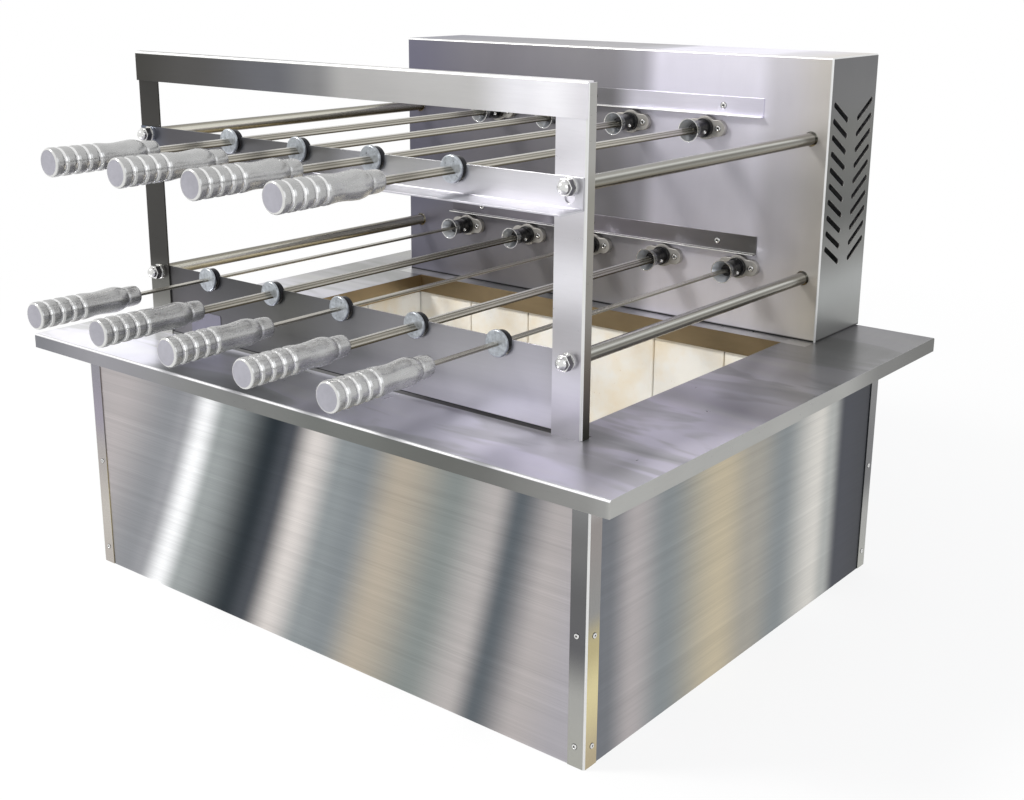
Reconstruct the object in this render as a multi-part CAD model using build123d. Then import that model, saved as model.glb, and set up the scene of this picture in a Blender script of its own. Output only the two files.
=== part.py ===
# Charcoal kebab grill: a firebrick box in a stainless base, with nine motor-driven skewers in two rows.
# Millimetres. X runs along the front, Y to the back, Z up. The origin is the centre of the base's underside.
from build123d import *
import math
import os

# Sheet and clearances
sheet = 1.2
frame_sheet = 2.0
hole_clearance = 0.3
running_clearance = 0.05
slot_clearance = 0.3
cut_over = 1.0

# Base
base_width = 830.0
base_depth = 672.0
grill_top = 330.0
pan_lip = 20.0
trim_leg = 22.0
trim_rivet_inset = 13.0
trim_rivet_heights = (24.0, 151.0)

# Countertop and its cut-out
top_width = 940.0
top_depth = 765.0
top_edge = 19.0
fire_width = 645.0
fire_depth = 464.0
fire_centre_y = -5.0
fire_flange = 28.0

# Firebricks
brick_width = 114.0
brick_height = 229.0
brick_thickness = 51.0
floor_brick = 32.0
mortar = 2.0
brick_setback = 4.0
back_joint_x = 8.0
smallest_cut = 20.0
shell_rim = 15.0

# Front frame, which stands with the motor box a little left of the countertop's middle
frame_x = -6.0
frame_width = 718.0
frame_height = 372.0
post_face = 40.0
post_flange = 14.0
post_setback = 116.5
bar_face = 37.0
bar_flange = 10.0
rest_face = 34.0
rest_inset = 3.0
rest_lip = 40.0
plate_foot = 4.0
edge_over_axis = 6.0

# Tie rods
rod_radius = 8.0
rod_inset = 19.5
lower_rod = 84.0
upper_rod = 267.0
stud_radius = 5.0
stud_reach = 9.0
rod_hole_gap = 1.8
rest_slot_width = 13.0
rest_slot_length = 24.0
rod_head_radius = 14.0
rod_head = 3.0
nut_flats = 17.0
nut_height = 8.0
nut_dome = 7.4
washer_radius = 10.0
washer_thickness = 2.0

# Skewer rows
pitch = 120.5
lower_count = 5
upper_count = 4
lower_axis = 88.0
upper_axis = 271.0

# Skewers
butt_radius = 16.3
butt_chamfer = 2.0
grip_end_radius = 15.5
waist_radius = 14.0
swell_radius = 15.5
neck_radius = 12.5
ferrule_radius = 11.5
handle_length = 142.0
grip_length = 66.0
groove_count = 4
groove_first = 13.0
groove_pitch = 15.0
groove_mouth = 8.0
groove_foot = 3.0
groove_depth = 1.5
waist_at = 82.0
swell_at = 108.0
neck_at = 121.0
handle_to_rest = 116.0
blade_in_handle = 70.0
bar_width = 8.0
bar_thickness = 3.0
channel_width = 16.0
channel_height = 8.0
channel_sheet = 1.5
tang_overlap = 1.0
spool_flange_radius = 15.5
spool_flange = 4.5
spool_neck_radius = 10.0
spool_gap = 3.0
ring_radius = 13.5
ring_width = 7.5
ring_lead = 1.0
notch_radius = 16.5

# Motor box
box_overhang = 5.0
box_height = 370.0
box_depth = 133.5
box_behind = 5.0
box_sheet = 1.5
box_corner = 2.5
box_return = 14.0
cover_sheet = 1.2
vent_count = 10
vent_pitch = 20.8
vent_top = 300.0
vent_length = 50.0
vent_width = 7.5
vent_corner = 2.2
vent_tilt = 30.0
vent_offset = 35.0
shield_width = 540.0
shield_face = 25.0
shield_lip = 10.0
shield_over_axis = 18.0
shield_rivet_spacing = 210.0

# Spindles and their bearings
mouth_reach = 51.0
mouth_radius = 15.5
mouth_wall = 1.0
funnel_length = 14.0
socket_radius = 11.0
collar_radius = 13.0
collar_length = 6.0
throat_radius = 8.0
socket_slot_depth = 24.0
tang_gap = 3.0
shaft_radius = 8.0
shaft_length = 21.0
gear_seat = 11.0
gear_seat_length = 22.0
bearing_width = 60.0
bearing_lobe_radius = 16.0
bearing_ear = 22.0
bearing_thickness = 8.0
hub_radius = 13.0
hub_length = 8.0
bearing_rivet_spacing = 40.0

# Gears
spindle_teeth = 20
gear_width = 12.0
gear_back = 18.0
pressure_angle = 20.0
addendum = 0.9
dedendum = 1.15
backlash = 0.4

# Gearmotor
motor_shaft_radius = 6.0
motor_seat = 8.4
motor_bore = 20.0
bracket_width = 90.0
bracket_sheet = 2.0
bracket_foot = 30.0
bracket_over_axis = 45.0
bracket_gap = 6.0
gearbox_width = 76.0
gearbox_height = 84.0
gearbox_depth = 34.0
motor_radius = 29.0
motor_length = 42.0
gland_radius = 10.0
gland_length = 14.0
gland_nut_radius = 14.0
gland_nut = 5.0
gland_height = 40.0
gland_inset = 120.0

# Rivets
rivet_radius = 3.2
rivet_head = 1.6
rivet_sides = 12

# Places worked out from the sizes above
top_under = grill_top - sheet
box_width = frame_width + 2 * box_overhang
gland_x = frame_x - box_width / 2 + gland_inset
top_front = -top_depth / 2
fire_front = fire_centre_y - fire_depth / 2
fire_back = fire_centre_y + fire_depth / 2
brick_top = grill_top - fire_flange
brick_foot = brick_top - brick_height
post_front = top_front + post_setback
post_back = post_front + frame_sheet
rest_front = post_front - frame_sheet
plate_front = post_back
plate_back = plate_front + sheet
box_back = top_depth / 2 + box_behind
box_front = box_back - box_depth
box_inside = box_front + box_sheet
cover_front = box_back - box_sheet - cover_sheet
bearing_front = box_front - bearing_thickness
mouth_y = box_front - mouth_reach
throat_y = mouth_y + funnel_length
socket_back = bearing_front - hole_clearance
shaft_end = socket_back + shaft_length
gear_front = box_inside + gear_back
gear_end = gear_front + gear_width
bracket_front = gear_end + bracket_gap
gearbox_front = bracket_front + bracket_sheet
gearbox_back = gearbox_front + gearbox_depth
module = pitch / spindle_teeth
rows_apart = math.hypot(pitch / 2, upper_axis - lower_axis)
motor_teeth = round((rows_apart - pitch) / module)
motor_pitch_radius = module * motor_teeth / 2


def axis_x(row, index):
    count = lower_count if row == "lower" else upper_count
    return (index - (count - 1) / 2) * pitch


def axis_z(row):
    return grill_top + (lower_axis if row == "lower" else upper_axis)


def seat_y(row):
    return plate_front if row == "lower" else rest_front


stations = [("lower", i) for i in range(lower_count)] + [("upper", i) for i in range(upper_count)]
rod_offset = frame_width / 2 - rod_inset
rods = [(frame_x + side * rod_offset, row) for side in (-1, 1) for row in ("lower", "upper")]


def rod_z(row):
    return grill_top + (lower_rod if row == "lower" else upper_rod)


def block(x0, x1, y0, y1, z0, z1):
    return Pos((x0 + x1) / 2, (y0 + y1) / 2, (z0 + z1) / 2) * Box(x1 - x0, y1 - y0, z1 - z0)


def along_y(sketch, y0, y1):
    return extrude(Plane.XZ.offset(-y0) * sketch, amount=y0 - y1)


def along_x(sketch, x0, x1):
    return extrude(Plane.YZ.offset(x0) * sketch, amount=x1 - x0)


def rod_y(radius, x, z, y0, y1):
    return along_y(Pos(x, z) * Circle(radius), y0, y1)


def turned(points):
    # Revolves an outline of (radius, y) points about Y
    return revolve(make_face(Polyline(*points, close=True)), axis=Axis.Y)


def ring(width, depth, wall, z0, z1, y=0.0):
    outer = Pos(0, y, (z0 + z1) / 2) * Box(width, depth, z1 - z0)
    inner = Pos(0, y, (z0 + z1) / 2) * Box(width - 2 * wall, depth - 2 * wall, z1 - z0)
    return outer - inner


# Base
def base_panels():
    half_w = base_width / 2
    half_d = base_depth / 2
    return {
        "base_front_panel": block(-half_w, half_w, -half_d, -half_d + sheet, 0, top_under),
        "base_back_panel": block(-half_w, half_w, half_d - sheet, half_d, 0, top_under),
        "base_left_panel": block(-half_w, -half_w + sheet, -half_d + sheet, half_d - sheet, 0, top_under),
        "base_right_panel": block(half_w - sheet, half_w, -half_d + sheet, half_d - sheet, 0, top_under),
    }


def base_pan():
    width = base_width - 2 * sheet
    depth = base_depth - 2 * sheet
    floor = Pos(0, 0, sheet / 2) * Box(width, depth, sheet)
    return floor + ring(width, depth, sheet, 0, pan_lip)


def corner_trims():
    # Angle strips that wrap the four corners outside the panels
    half_w = base_width / 2
    half_d = base_depth / 2
    legs = []
    for sx in (-1, 1):
        for sy in (-1, 1):
            outline = make_face(Polyline(
                (half_w + sheet, half_d + sheet), (half_w + sheet - trim_leg, half_d + sheet),
                (half_w + sheet - trim_leg, half_d), (half_w, half_d),
                (half_w, half_d + sheet - trim_leg), (half_w + sheet, half_d + sheet - trim_leg), close=True))
            leg = extrude(outline, amount=top_under)
            if sx < 0:
                leg = mirror(leg, about=Plane.YZ)
            if sy < 0:
                leg = mirror(leg, about=Plane.XZ)
            legs.append(leg)
    return Compound(children=legs)


# Countertop, firebox and bricks
def countertop():
    slab = Pos(0, 0, (grill_top + top_under) / 2) * Box(top_width, top_depth, sheet)
    top = slab + ring(top_width, top_depth, sheet, grill_top - top_edge, grill_top)
    top += ring(fire_width + 2 * sheet, fire_depth + 2 * sheet, sheet, brick_top, grill_top, fire_centre_y)
    return top - Pos(0, fire_centre_y, grill_top) * Box(fire_width, fire_depth, 2 * top_edge)


def brick_inner():
    half_w = fire_width / 2 + brick_setback
    return -half_w, half_w, fire_front - brick_setback, fire_back + brick_setback


def spans(low, high, joint, step):
    # Cuts a length into bricks with one joint at a given place, without slivers at the ends
    first = math.ceil((low + smallest_cut - joint) / step)
    last = math.floor((high - smallest_cut - joint) / step)
    joints = [joint + k * step for k in range(first, last + 1)]
    edges = [low - mortar / 2] + joints + [high + mortar / 2]
    return [(a + mortar / 2, b - mortar / 2) for a, b in zip(edges, edges[1:])]


def firebrick_walls():
    x0, x1, y0, y1 = brick_inner()
    t = brick_thickness
    bricks = []
    for a, b in spans(x0 - t, x1 + t, back_joint_x, brick_width):
        bricks.append(block(a, b, y0 - t, y0, brick_foot, brick_top))
        bricks.append(block(a, b, y1, y1 + t, brick_foot, brick_top))
    for a, b in spans(y0 + mortar, y1 - mortar, fire_centre_y, brick_width):
        bricks.append(block(x0 - t, x0, a, b, brick_foot, brick_top))
        bricks.append(block(x1, x1 + t, a, b, brick_foot, brick_top))
    return Compound(children=bricks)


def firebrick_floor():
    x0, x1, y0, y1 = brick_inner()
    bricks = []
    for a, b in spans(x0 + mortar, x1 - mortar, back_joint_x, brick_height):
        for c, d in spans(y0 + mortar, y1 - mortar, fire_centre_y, brick_width):
            bricks.append(block(a, b, c, d, brick_foot, brick_foot + floor_brick))
    return Compound(children=bricks)


def firebox_shell():
    x0, x1, y0, y1 = brick_inner()
    width = x1 - x0 + 2 * (brick_thickness + sheet)
    depth = y1 - y0 + 2 * (brick_thickness + sheet)
    floor = Pos(0, fire_centre_y, brick_foot - sheet / 2) * Box(width, depth, sheet)
    walls = ring(width, depth, sheet, brick_foot - sheet, top_under, fire_centre_y)
    rim = ring(width + 2 * shell_rim, depth + 2 * shell_rim, shell_rim + sheet,
               top_under - sheet, top_under, fire_centre_y)
    return floor + walls + rim


# Front frame
def frame_post(side):
    # Angle section: a face to the front and a flange along the outer side
    outer = frame_x + side * frame_width / 2
    inner = outer - side * post_face
    web = outer - side * frame_sheet
    top = grill_top + frame_height - frame_sheet
    post = block(min(outer, inner), max(outer, inner), post_front, post_back, grill_top, top)
    post += block(min(outer, web), max(outer, web), post_front, post_front + post_flange, grill_top, top)
    for x, row in rods:
        if x * side > 0:
            post -= rod_y(stud_radius + hole_clearance, x, rod_z(row), post_front, post_back)
    return post


def across(width):
    # Left and right ends of a piece centred on the front frame
    return frame_x - width / 2, frame_x + width / 2


def top_bar():
    left, right = across(frame_width)
    top = grill_top + frame_height
    face = block(left, right, rest_front, post_front, top - bar_face, top)
    flange = block(left, right, rest_front, rest_front + bar_flange, top - frame_sheet, top)
    return face + flange


def notch(x, row, top, y0, y1):
    # Round-bottomed slot, open upwards, whose foot carries the ring of a skewer's spool
    centre = axis_z(row) - ring_radius - hole_clearance + notch_radius
    slot = rod_y(notch_radius, x, centre, y0, y1)
    return slot + block(x - notch_radius, x + notch_radius, y0, y1, centre, top + cut_over)


def upper_skewer_rest():
    left, right = across(frame_width - 2 * rest_inset)
    top = axis_z("upper") + edge_over_axis
    foot = top - rest_face
    rest = block(left, right, rest_front, post_front, foot, top)
    rest += block(left, right, post_front - rest_lip, post_front, foot, foot + frame_sheet)
    for i in range(upper_count):
        rest -= notch(axis_x("upper", i), "upper", top, rest_front, post_front)
    for x, row in rods:
        if row == "upper":
            centre = rod_z(row) - (rest_slot_length - rest_slot_width) / 2
            slot = Pos(x, centre) * SlotOverall(rest_slot_length, rest_slot_width, rotation=90)
            rest -= along_y(slot, rest_front, post_front)
    return rest


def lower_front_plate():
    left, right = across(frame_width - 2 * frame_sheet)
    top = axis_z("lower") + edge_over_axis
    plate = block(left, right, plate_front, plate_back, grill_top + plate_foot, top)
    for i in range(lower_count):
        plate -= notch(axis_x("lower", i), "lower", top, plate_front, plate_back)
    for x, row in rods:
        if row == "lower":
            plate -= rod_y(stud_radius + hole_clearance, x, rod_z(row), plate_front, plate_back)
    return plate


# Tie rods
def nut_face(row):
    # Front face of what the washer bears on
    return post_front if row == "lower" else rest_front


def tie_rods():
    solids = []
    for x, row in rods:
        z = rod_z(row)
        start = plate_back if row == "lower" else post_back
        bar = rod_y(rod_radius, x, z, start, box_inside + rod_head)
        head = rod_y(rod_head_radius, x, z, box_inside, box_inside + rod_head)
        stud = rod_y(stud_radius, x, z, nut_face(row) - stud_reach, start)
        solids.append(bar + head + stud)
    return Compound(children=solids)


def washers():
    solids = []
    for x, row in rods:
        back = nut_face(row)
        front = back - washer_thickness
        disc = rod_y(washer_radius, x, rod_z(row), front, back)
        solids.append(disc - rod_y(stud_radius + hole_clearance, x, rod_z(row), front, back))
    return Compound(children=solids)


def dome_nuts():
    solids = []
    for x, row in rods:
        back = nut_face(row) - washer_thickness
        front = back - nut_height
        hexagon = Pos(x, rod_z(row)) * RegularPolygon(nut_flats / 2, 6, major_radius=False)
        nut = along_y(hexagon, front, back)
        dome = Pos(x, front, rod_z(row)) * Sphere(nut_dome)
        nut += dome & block(x - nut_flats, x + nut_flats, front - nut_dome, front,
                            rod_z(row) - nut_flats, rod_z(row) + nut_flats)
        nut -= rod_y(stud_radius + hole_clearance, x, rod_z(row), front, back)
        solids.append(nut)
    return Compound(children=solids)


# Motor box
def vent_slots(side):
    # Two columns of slanted slots with broken corners, which make a herringbone on the side wall
    middle = (box_front + box_back) / 2
    wall = frame_x + side * box_width / 2
    outline = Rectangle(vent_length, vent_width)
    outline = chamfer(outline.vertices(), vent_corner)
    cuts = []
    for column in (-1, 1):
        for k in range(vent_count):
            z = grill_top + vent_top - k * vent_pitch
            slot = Pos(middle + column * vent_offset, z) * Rot(0, 0, column * vent_tilt) * outline
            cuts.append(along_x(slot, wall - 2 * box_sheet, wall + 2 * box_sheet))
    return cuts


def box_outline(inset):
    return Pos(frame_x, (box_front + box_back) / 2) * RectangleRounded(
        box_width - 2 * inset, box_depth - 2 * inset, box_corner - inset)


def motor_box_casing():
    # Folded casing: front, sides, top and short returns round the back corners
    top = grill_top + box_height
    outer = Pos(0, 0, grill_top) * extrude(box_outline(0), amount=box_height)
    inner = Pos(0, 0, grill_top) * extrude(box_outline(box_sheet), amount=box_height - box_sheet)
    casing = outer - inner
    left, right = across(box_width - 2 * box_return)
    casing -= block(left, right, box_back - box_sheet, box_back, grill_top, top - box_return)
    for side in (-1, 1):
        for cut in vent_slots(side):
            casing -= cut
    for row, i in stations:
        casing -= rod_y(hub_radius + hole_clearance, axis_x(row, i), axis_z(row), box_front, box_inside)
    for x, row in rods:
        casing -= rod_y(rod_radius + rod_hole_gap, x, rod_z(row), box_front, box_inside)
    return casing


def motor_box_back_cover():
    left, right = across(box_width - 2 * (box_corner + hole_clearance))
    top = grill_top + box_height - box_sheet
    cover = block(left, right, cover_front, cover_front + cover_sheet, grill_top, top)
    return cover - rod_y(gland_radius + hole_clearance, gland_x, grill_top + gland_height,
                         cover_front, cover_front + cover_sheet)


def drip_shield(row):
    # Angle strip: an upstand on the casing and a lip that projects over the sockets
    foot = axis_z(row) + shield_over_axis
    left, right = across(shield_width)
    upstand = block(left, right, box_front - sheet, box_front, foot, foot + shield_face)
    return upstand + block(left, right, box_front - shield_lip, box_front, foot, foot + sheet)


def cable_gland():
    z = grill_top + gland_height
    back = cover_front + cover_sheet
    hexagon = Pos(gland_x, z) * RegularPolygon(gland_nut_radius, 6)
    body = rod_y(gland_radius, gland_x, z, cover_front - gland_nut, back + gland_length)
    flange = along_y(hexagon, back, back + gland_nut)
    nut = along_y(hexagon, cover_front - gland_nut, cover_front)
    bore = rod_y(gland_radius / 2, gland_x, z, cover_front - gland_nut, back + gland_length)
    return body + flange + nut - bore


# Spindles and their bearings
def bearing_flanges():
    solids = []
    for row, i in stations:
        x = axis_x(row, i)
        z = axis_z(row)
        outline = SlotOverall(bearing_width, bearing_ear) + Circle(bearing_lobe_radius)
        plate = along_y(Pos(x, z) * outline, bearing_front, box_front)
        plate += rod_y(hub_radius, x, z, box_front, box_inside + hub_length)
        plate -= rod_y(shaft_radius + running_clearance, x, z, bearing_front, box_inside + hub_length)
        solids.append(plate)
    return Compound(children=solids)


def spindle(row, i):
    # Flared mouth, slotted socket body, collar, round shaft and a square seat for the gear
    outline = [
        (0, throat_y), (throat_radius, throat_y), (mouth_radius - mouth_wall, mouth_y),
        (mouth_radius, mouth_y), (socket_radius, throat_y), (socket_radius, socket_back - collar_length),
        (collar_radius, socket_back - collar_length), (collar_radius, socket_back),
        (shaft_radius, socket_back), (shaft_radius, shaft_end), (0, shaft_end),
    ]
    slot = block(-bar_width / 2 - slot_clearance, bar_width / 2 + slot_clearance, throat_y,
                 throat_y + socket_slot_depth, -bar_thickness / 2 - slot_clearance,
                 bar_thickness / 2 + slot_clearance)
    seat = block(-gear_seat / 2, gear_seat / 2, shaft_end, shaft_end + gear_seat_length,
                 -gear_seat / 2, gear_seat / 2)
    return Pos(axis_x(row, i), 0, axis_z(row)) * (turned(outline) - slot + seat)


def tooth_half_angle(teeth, radius):
    # Half the angle that an involute tooth fills at a radius, in radians
    pitch_radius = module * teeth / 2
    base = pitch_radius * math.cos(math.radians(pressure_angle))
    at_pitch = math.radians(pressure_angle)
    at_radius = math.acos(min(1.0, base / radius))
    roll = (math.tan(at_pitch) - at_pitch) - (math.tan(at_radius) - at_radius)
    return math.pi / (2 * teeth) - backlash / (2 * pitch_radius) + roll


def gear_outline(teeth, phase):
    pitch_radius = module * teeth / 2
    root = pitch_radius - dedendum * module
    tip = pitch_radius + addendum * module
    points = []
    for k in range(teeth):
        centre = math.radians(phase) + 2 * math.pi * k / teeth
        for radius, side in ((root, -1), (pitch_radius, -1), (tip, -1),
                             (tip, 1), (pitch_radius, 1), (root, 1)):
            angle = centre + side * tooth_half_angle(teeth, radius)
            points.append((radius * math.cos(angle), radius * math.sin(angle)))
    return make_face(Polyline(*points, close=True))


def meshed_phase(phase_a, teeth_a, teeth_b, direction):
    # Tooth angle of gear B so that it meshes with gear A, B lying in a direction in degrees from A
    step_a = 360 / teeth_a
    step_b = 360 / teeth_b
    part = ((direction - phase_a) / step_a) % 1
    return direction + 180 - step_b * (0.5 - part)


def motor_axis():
    # The motor gear meshes with one lower and one upper gear: its centre is as far from both
    lower = Vector(axis_x("lower", 2), axis_z("lower"))
    upper = Vector(axis_x("upper", 2), axis_z("upper"))
    reach = pitch / 2 + motor_pitch_radius
    half = (upper - lower).length / 2
    along = (upper - lower).normalized()
    side = math.sqrt(max(0.0, reach ** 2 - half ** 2))
    middle = (lower + upper) * 0.5
    return middle + Vector(-along.Y, along.X) * side


def direction_to(a, b):
    return math.degrees(math.atan2(b.Y - a.Y, b.X - a.X))


def gear_phases():
    # Tooth angles of every gear, worked out from the middle lower gear outwards
    centre = motor_axis()
    phases = {("lower", 2): 0.0}
    motor = meshed_phase(0.0, spindle_teeth, motor_teeth,
                         direction_to(Vector(axis_x("lower", 2), axis_z("lower")), centre))
    upper = Vector(axis_x("upper", 2), axis_z("upper"))
    phases[("upper", 2)] = meshed_phase(motor, motor_teeth, spindle_teeth, direction_to(centre, upper))
    for row, count in (("lower", lower_count), ("upper", upper_count)):
        for i in range(3, count):
            phases[(row, i)] = meshed_phase(phases[(row, i - 1)], spindle_teeth, spindle_teeth, 0)
        for i in range(1, -1, -1):
            phases[(row, i)] = meshed_phase(phases[(row, i + 1)], spindle_teeth, spindle_teeth, 180)
    return phases, motor


def spindle_gear(row, i, phase):
    face = gear_outline(spindle_teeth, phase)
    face -= Rectangle(gear_seat + 2 * running_clearance, gear_seat + 2 * running_clearance)
    return along_y(Pos(axis_x(row, i), axis_z(row)) * face, gear_front, gear_end)


def motor_gear(phase):
    centre = motor_axis()
    hole = motor_seat + 2 * running_clearance
    face = gear_outline(motor_teeth, phase) - Rectangle(hole, hole)
    return along_y(Pos(centre.X, centre.Y) * face, gear_front, gear_end)


def motor_shaft():
    centre = motor_axis()
    end = gearbox_front + motor_bore - hole_clearance
    seat = along_y(Pos(centre.X, centre.Y) * Rectangle(motor_seat, motor_seat), gear_front, gear_end)
    return seat + rod_y(motor_shaft_radius, centre.X, centre.Y, gear_end, end)


# Gearmotor
def motor_bracket():
    centre = motor_axis()
    left = centre.X - bracket_width / 2
    right = centre.X + bracket_width / 2
    bracket = block(left, right, bracket_front, gearbox_front, grill_top, centre.Y + bracket_over_axis)
    foot_back = bracket_front + bracket_foot
    bracket += block(left, right, bracket_front, foot_back, grill_top, grill_top + bracket_sheet)
    hole = motor_shaft_radius + hole_clearance
    return bracket - rod_y(hole, centre.X, centre.Y, bracket_front, gearbox_front)


def gearmotor():
    centre = motor_axis()
    gearbox = block(centre.X - gearbox_width / 2, centre.X + gearbox_width / 2, gearbox_front, gearbox_back,
                    centre.Y - gearbox_height / 2, centre.Y + gearbox_height / 2)
    motor = rod_y(motor_radius, centre.X, centre.Y, gearbox_back, gearbox_back + motor_length)
    bore_radius = motor_shaft_radius + running_clearance
    bore = rod_y(bore_radius, centre.X, centre.Y, gearbox_front, gearbox_front + motor_bore)
    return gearbox + motor - bore


# Skewers
def has_channel(row, i):
    # Every upper skewer and every second lower one has a channel blade, the others a flat bar
    return row == "upper" or i % 2 == 1


def blade(row, i, seat):
    # Flat bar or roof-shaped channel, with the same flat tang for the socket
    start = seat - handle_to_rest - blade_in_handle
    tip = throat_y + socket_slot_depth - tang_gap
    bar = block(-bar_width / 2, bar_width / 2, start, tip, -bar_thickness / 2, bar_thickness / 2)
    if not has_channel(row, i):
        return bar
    w = channel_width / 2
    h = channel_height / 2
    t = channel_sheet
    roof = make_face(Polyline((-w, -h), (-w + t, -h), (0, h - t), (w - t, -h), (w, -h), (0, h), close=True))
    roof_end = throat_y - funnel_length / 2
    tang = block(-bar_width / 2, bar_width / 2, roof_end - tang_overlap, tip,
                 -bar_thickness / 2, bar_thickness / 2)
    return along_y(roof, start, roof_end) + tang


def grip_grooves(front):
    # Points of the finger grooves in the handle's outline
    points = []
    for k in range(groove_count):
        middle = groove_first + k * groove_pitch
        land = butt_radius - (butt_radius - grip_end_radius) * middle / grip_length
        for radius, offset in ((land, -groove_mouth / 2), (land - groove_depth, -groove_foot / 2),
                               (land - groove_depth, groove_foot / 2), (land, groove_mouth / 2)):
            points.append((radius, front + middle + offset))
    return points


def handle(seat):
    front = seat - handle_to_rest - handle_length
    outline = [
        (0, front), (butt_radius - butt_chamfer, front), (butt_radius, front + butt_chamfer),
        *grip_grooves(front),
        (grip_end_radius, front + grip_length), (waist_radius, front + waist_at),
        (swell_radius, front + swell_at), (neck_radius, front + neck_at),
        (ferrule_radius, front + handle_length), (0, front + handle_length),
    ]
    return turned(outline)


def spool(seat):
    flange_back = seat - spool_gap
    outline = [
        (0, flange_back - spool_flange), (spool_flange_radius, flange_back - spool_flange),
        (spool_flange_radius, flange_back), (spool_neck_radius, flange_back),
        (spool_neck_radius, seat - ring_lead), (ring_radius, seat - ring_lead),
        (ring_radius, seat - ring_lead + ring_width), (0, seat - ring_lead + ring_width),
    ]
    return turned(outline)


def skewer(row, i):
    seat = seat_y(row)
    metal = blade(row, i, seat)
    place = Pos(axis_x(row, i), 0, axis_z(row))
    return Compound(children=[place * metal, place * (handle(seat) - metal), place * (spool(seat) - metal)])


# Rivets, with few-sided heads because they repeat
def rivet_y(x, y, z):
    return along_y(Pos(x, z) * RegularPolygon(rivet_radius, rivet_sides), y - rivet_head, y)


def rivets():
    solids = []
    half_w = base_width / 2 + sheet
    half_d = base_depth / 2 + sheet
    for z in trim_rivet_heights:
        for sx in (-1, 1):
            x = sx * (half_w - trim_rivet_inset)
            solids.append(rivet_y(x, -half_d, z))
            solids.append(rivet_y(x, half_d + rivet_head, z))
            for sy in (-1, 1):
                y = sy * (half_d - trim_rivet_inset)
                head = Pos(y, z) * RegularPolygon(rivet_radius, rivet_sides)
                rivet = along_x(head, half_w, half_w + rivet_head)
                solids.append(rivet if sx > 0 else mirror(rivet, about=Plane.YZ))
    for row, i in stations:
        for side in (-1, 1):
            x = axis_x(row, i) + side * bearing_rivet_spacing / 2
            solids.append(rivet_y(x, bearing_front, axis_z(row)))
    for row in ("lower", "upper"):
        z = axis_z(row) + shield_over_axis + shield_face / 2
        for k in (-1, 0, 1):
            solids.append(rivet_y(frame_x + k * shield_rivet_spacing, box_front - sheet, z))
    return Compound(children=solids)


def all_parts():
    parts = dict(base_panels())
    parts["base_pan"] = base_pan()
    parts["corner_trims"] = corner_trims()
    parts["countertop"] = countertop()
    parts["firebox_shell"] = firebox_shell()
    parts["firebrick_walls"] = firebrick_walls()
    parts["firebrick_floor"] = firebrick_floor()
    parts["left_post"] = frame_post(-1)
    parts["right_post"] = frame_post(1)
    parts["top_bar"] = top_bar()
    parts["upper_skewer_rest"] = upper_skewer_rest()
    parts["lower_front_plate"] = lower_front_plate()
    parts["tie_rods"] = tie_rods()
    parts["washers"] = washers()
    parts["dome_nuts"] = dome_nuts()
    parts["motor_box_casing"] = motor_box_casing()
    parts["motor_box_back_cover"] = motor_box_back_cover()
    parts["lower_drip_shield"] = drip_shield("lower")
    parts["upper_drip_shield"] = drip_shield("upper")
    parts["bearing_flanges"] = bearing_flanges()
    parts["cable_gland"] = cable_gland()
    parts["pop_rivets"] = rivets()
    parts["motor_bracket"] = motor_bracket()
    parts["gearmotor"] = gearmotor()
    parts["motor_shaft"] = motor_shaft()
    phases, motor = gear_phases()
    parts["motor_gear"] = motor_gear(motor)
    for row, i in stations:
        name = f"{row}_{i + 1}"
        parts[f"spindle_{name}"] = spindle(row, i)
        parts[f"gear_{name}"] = spindle_gear(row, i, phases[(row, i)])
        parts[f"skewer_{name}"] = skewer(row, i)
    return parts


os.makedirs("parts", exist_ok=True)
for name, shape in all_parts().items():
    export_step(shape, f"parts/{name}.step")
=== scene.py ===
import bmesh
import bpy
import math
from mathutils import Matrix, Vector


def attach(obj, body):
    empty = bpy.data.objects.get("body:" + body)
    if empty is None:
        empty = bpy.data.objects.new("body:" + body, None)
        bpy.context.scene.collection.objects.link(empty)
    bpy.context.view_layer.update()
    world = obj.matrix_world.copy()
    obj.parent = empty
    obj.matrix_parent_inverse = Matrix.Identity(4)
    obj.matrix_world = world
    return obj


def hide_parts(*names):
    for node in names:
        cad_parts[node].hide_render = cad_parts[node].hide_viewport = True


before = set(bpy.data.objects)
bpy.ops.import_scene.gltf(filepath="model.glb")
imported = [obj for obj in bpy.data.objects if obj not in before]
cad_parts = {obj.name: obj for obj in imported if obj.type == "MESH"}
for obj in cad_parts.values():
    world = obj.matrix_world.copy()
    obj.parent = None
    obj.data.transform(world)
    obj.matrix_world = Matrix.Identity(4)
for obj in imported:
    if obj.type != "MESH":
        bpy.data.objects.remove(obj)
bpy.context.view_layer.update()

# Camera. It stands to the right of the front, above the upper skewers, where the photograph was taken.
# Its place and focal length come from fitting the countertop, the frame and the skewers to the photograph.
station = Vector((1.14374, -1.37573, 0.80923))
right = Vector((0.774581, 0.632460, 0.004330))
up = Vector((-0.173028, 0.205314, 0.963280))
back = right.cross(up)
lens = bpy.data.cameras.new("viewpoint")
lens.sensor_width = 36.0
lens.lens = 48.3443
lens.shift_x = 0.013735
lens.shift_y = -0.049357
lens.clip_end = 50.0
camera = bpy.data.objects.new("viewpoint", lens)
camera.matrix_world = Matrix.Translation(station) @ Matrix((right, up, back)).transposed().to_4x4()
bpy.context.collection.objects.link(camera)
bpy.context.scene.camera = camera
bpy.context.scene.view_settings.view_transform = "Standard"

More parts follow.
